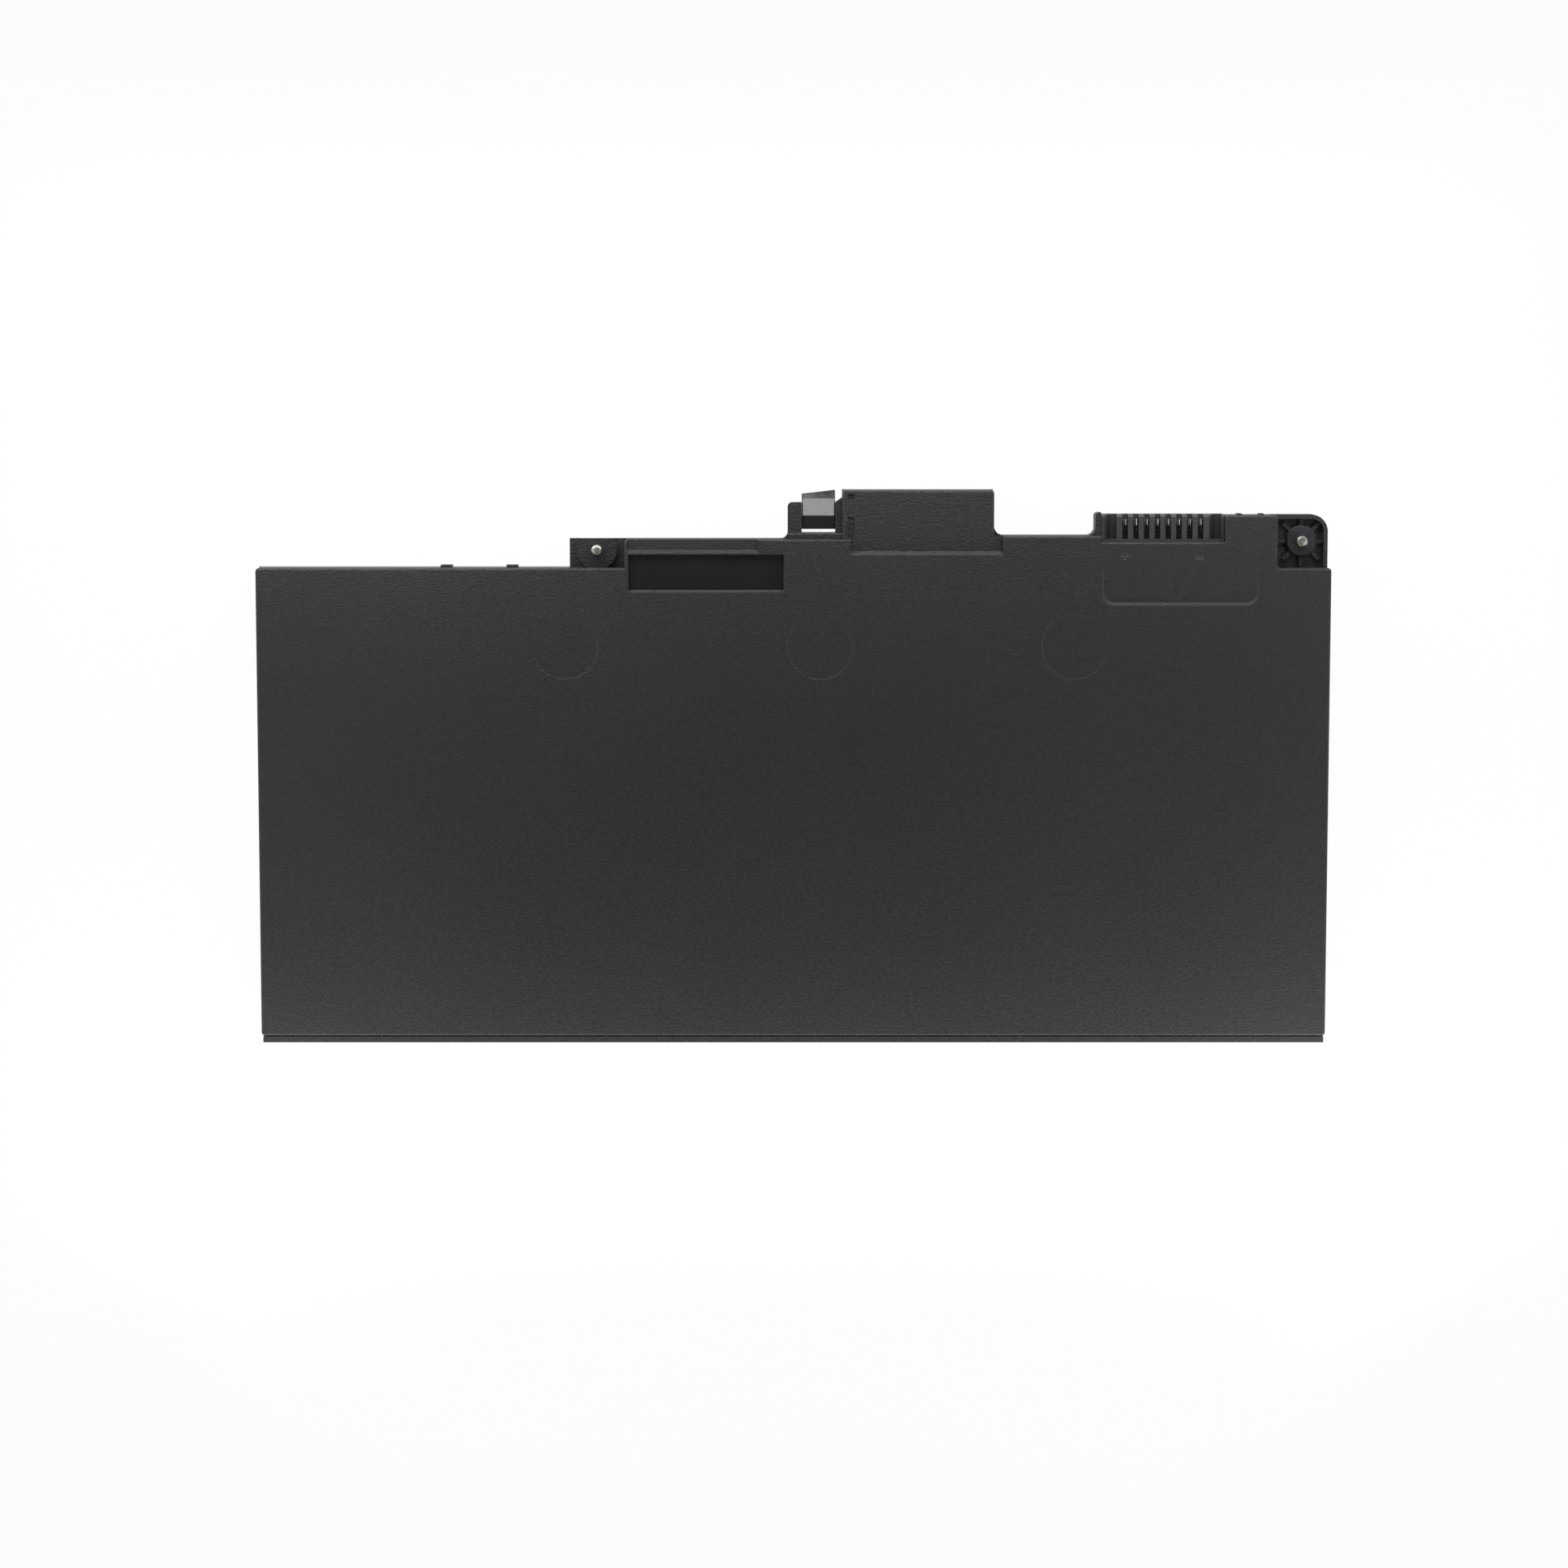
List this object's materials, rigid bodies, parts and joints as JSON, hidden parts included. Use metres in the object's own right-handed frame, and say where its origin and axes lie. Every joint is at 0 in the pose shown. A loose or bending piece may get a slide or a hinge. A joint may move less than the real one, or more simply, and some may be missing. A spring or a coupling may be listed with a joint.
{
  "type": "laptop battery",
  "caption": "Flat black moulded laptop battery pack with a stepped edge, slotted connector, sunk window, film pull tab and captive screws in its tabs.",
  "frame": {"origin": "centre of the bounding box, at the level of the front cover's underside", "axes": "+X along the long edge, towards the connector and the ribbed screw tab; +Y towards the stepped edge; +Z out of the plain inner face"},
  "size_m": [0.2106, 0.109, 0.0072],
  "materials": {
    "case_plastic": "fine spark-eroded grain, near black",
    "window_film": "smooth near-black film",
    "connector_plastic": "smooth moulded black",
    "contact_metal": "thinly plated, satin",
    "screw_steel": "zinc plated, satin",
    "pull_film": "glossy black film",
    "pouch_foil": "laminated foil, satin",
    "tape": "double-sided tape",
    "nickel": "rolled nickel strip",
    "board": "green solder mask",
    "chip": "moulded package",
    "fuse_body": "pale ceramic package",
    "shunt_body": "metal-foil resistor",
    "capacitor_body": "tan ceramic"
  },
  "bodies": {
    "pack": {"cell_left": "pouch_foil", "cell_left_negative_tab": "nickel", "cell_left_positive_tab": "nickel", "cell_middle": "pouch_foil", "cell_middle_negative_tab": "nickel", "cell_middle_positive_tab": "nickel", "cell_right": "pouch_foil", "cell_right_negative_tab": "nickel", "cell_right_positive_tab": "nickel", "cell_tape_left": "tape", "cell_tape_middle": "tape", "cell_tape_right": "tape", "charge_transistor": "chip", "chemical_fuse": "fuse_body", "connector_contacts": "contact_metal", "connector_housing": "connector_plastic", "discharge_transistor": "chip", "filter_capacitors": "capacitor_body", "front_cover": "case_plastic", "gauge_chip": "chip", "pack_negative_strip": "nickel", "pack_positive_strip": "nickel", "protection_board": "board", "pull_tab": "pull_film", "rear_case": "case_plastic", "series_strip_left": "nickel", "series_strip_right": "nickel", "shunt_resistor": "shunt_body", "thermistor": "chip", "window_film": "window_film"},
    "left_screw": {"captive_screw_left": "screw_steel"},
    "right_screw": {"captive_screw_right": "screw_steel"}
  },
  "joints": [
    {"name": "left_screw_travel", "type": "slide", "parent": "pack", "child": "left_screw", "axis": [0, 0, 1], "range_m": [0, 0.0015]},
    {"name": "right_screw_travel", "type": "slide", "parent": "pack", "child": "right_screw", "axis": [0, 0, 1], "range_m": [0, 0.0015]}
  ]
}
